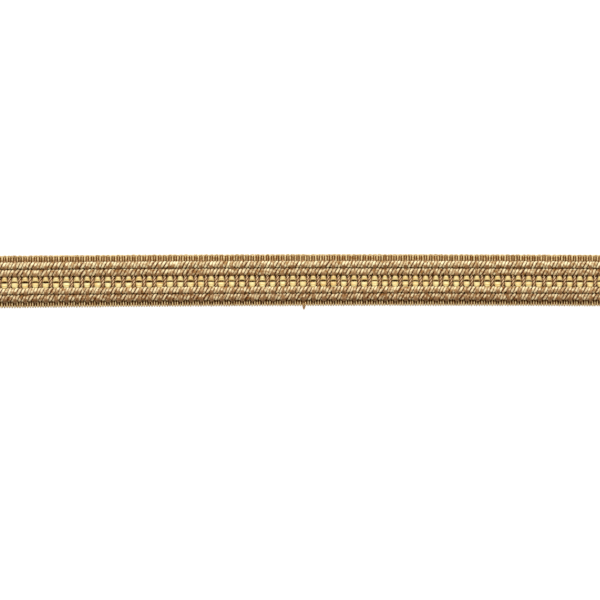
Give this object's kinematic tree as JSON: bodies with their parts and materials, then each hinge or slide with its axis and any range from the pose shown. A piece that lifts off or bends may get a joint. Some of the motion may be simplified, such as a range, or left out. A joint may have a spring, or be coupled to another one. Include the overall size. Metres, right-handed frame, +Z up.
{
  "type": "gimp braid trim",
  "caption": "Flat length of narrow furnishing braid with twisted tan cords, a crossbarred gold floss centre and looped edges.",
  "frame": {"origin": "on the flat back of the cloth, at the middle of its length and width", "axes": "+X along the trim, +Y across it to the edge with the pair of upper cords, +Z up from the back to the face"},
  "size_m": [0.19, 0.0158, 0.0025],
  "materials": {
    "ground_thread": "satin twisted viscose thread, light brown with darker hollows",
    "twisted_cord": "plied viscose cord with a soft sheen, tan",
    "gold_floss": "untwisted lustrous floss, pale gold"
  },
  "bodies": {
    "root": {"web": "ground_thread", "cord_1": "twisted_cord", "cord_2": "twisted_cord", "cord_3": "twisted_cord", "cord_4": "twisted_cord", "floss_upper": "gold_floss", "floss_lower": "gold_floss"}
  },
  "joints": []
}
